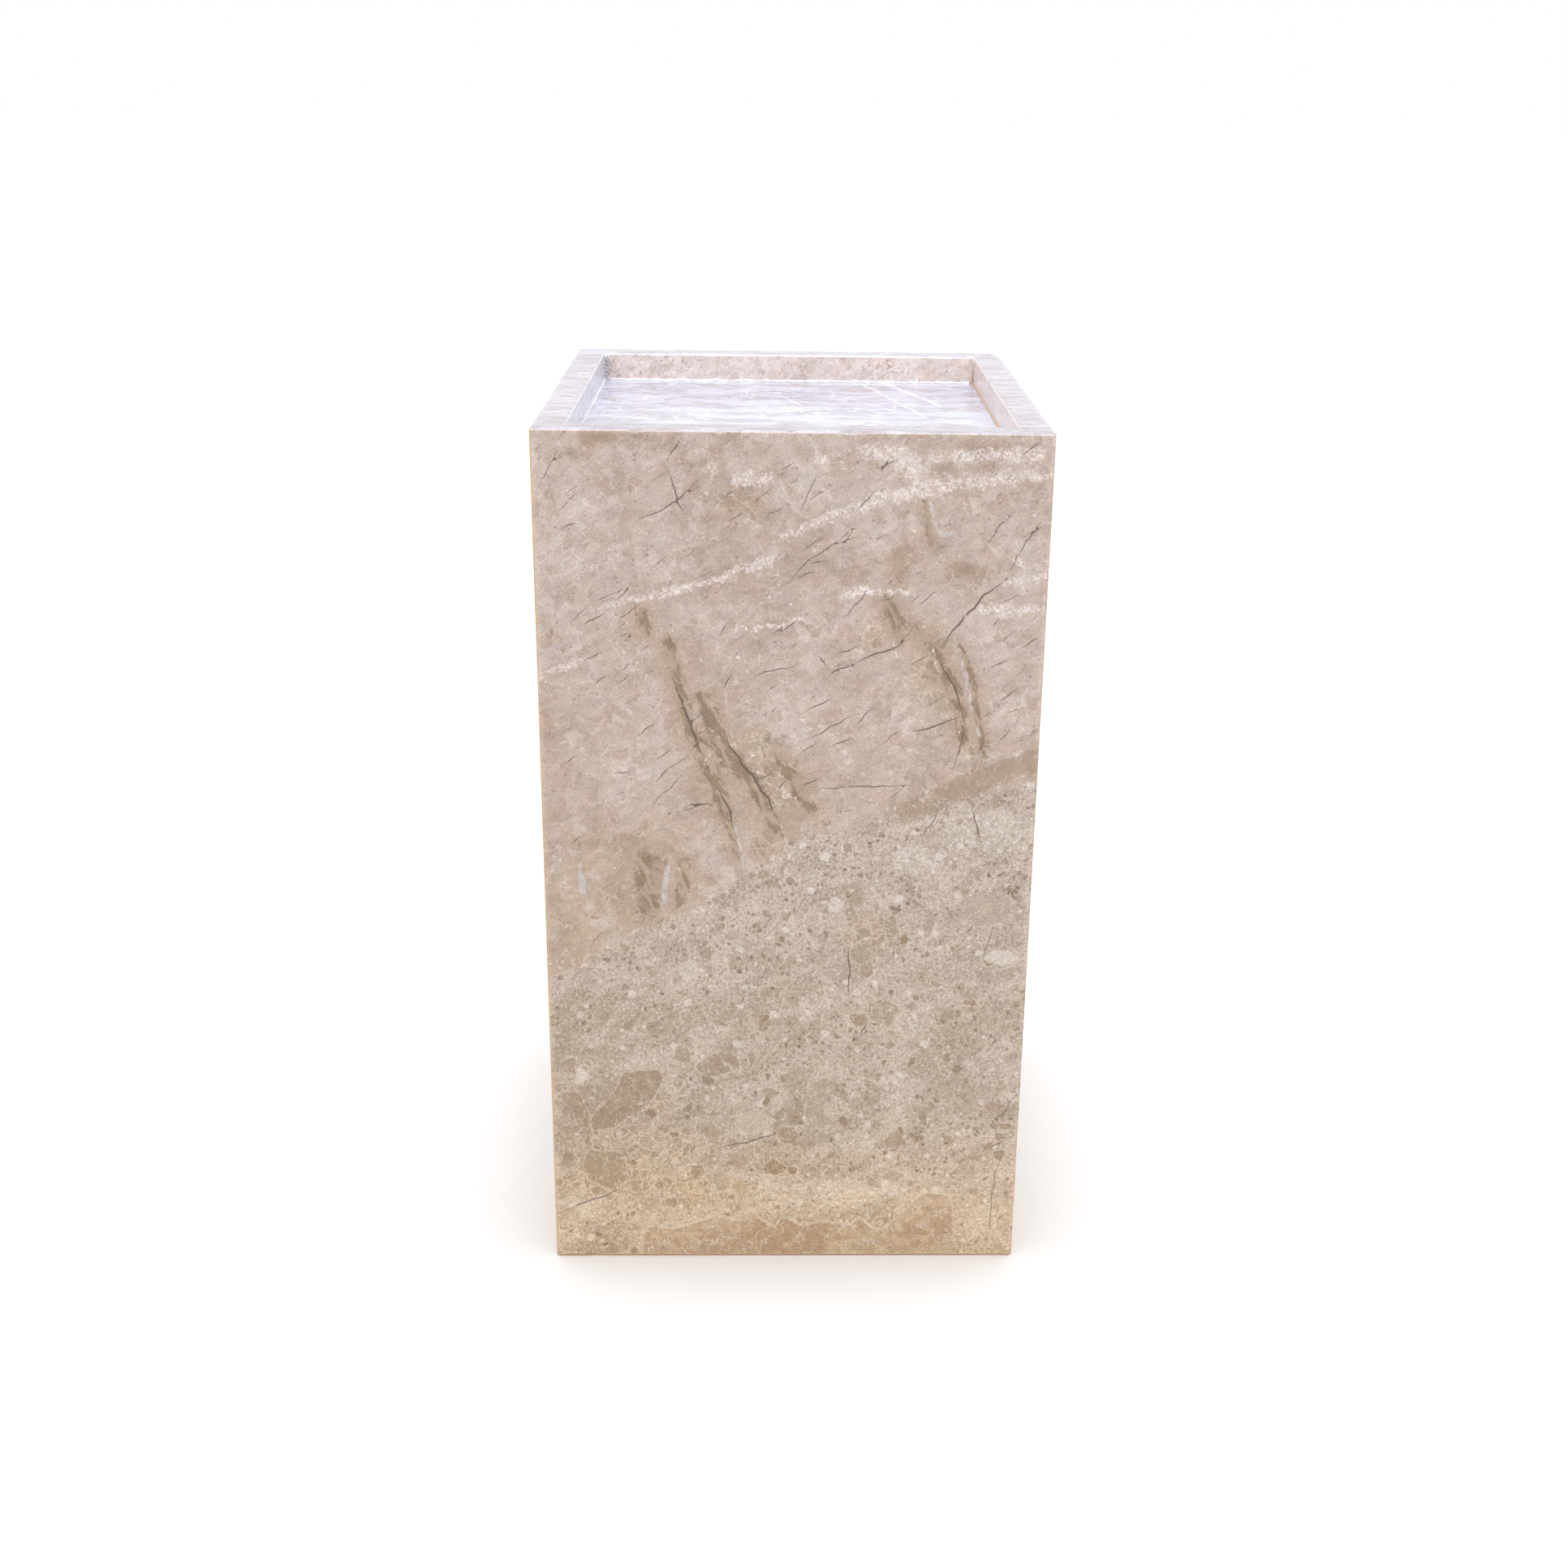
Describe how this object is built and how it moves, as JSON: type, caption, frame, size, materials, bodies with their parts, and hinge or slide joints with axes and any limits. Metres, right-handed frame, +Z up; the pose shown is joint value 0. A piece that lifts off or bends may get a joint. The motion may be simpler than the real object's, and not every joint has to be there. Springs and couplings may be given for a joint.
{
  "type": "marble pedestal",
  "caption": "Square upright stone pedestal made of polished slabs, hollow and open below, with a shallow recessed tray inside its rim to stand a plant or ornament on.",
  "frame": {"origin": "middle of the underside, on the ground", "axes": "+Z up, the front face towards -Y, +X to the right of a viewer facing the front"},
  "size_m": [0.3, 0.3, 0.55],
  "materials": {
    "wall_marble": "polished beige brecciated marble",
    "tray_marble": "polished pale marble"
  },
  "bodies": {
    "root": {"front_slab": "wall_marble", "right_slab": "wall_marble", "back_slab": "wall_marble", "left_slab": "wall_marble", "tray_slab": "tray_marble"}
  },
  "joints": []
}
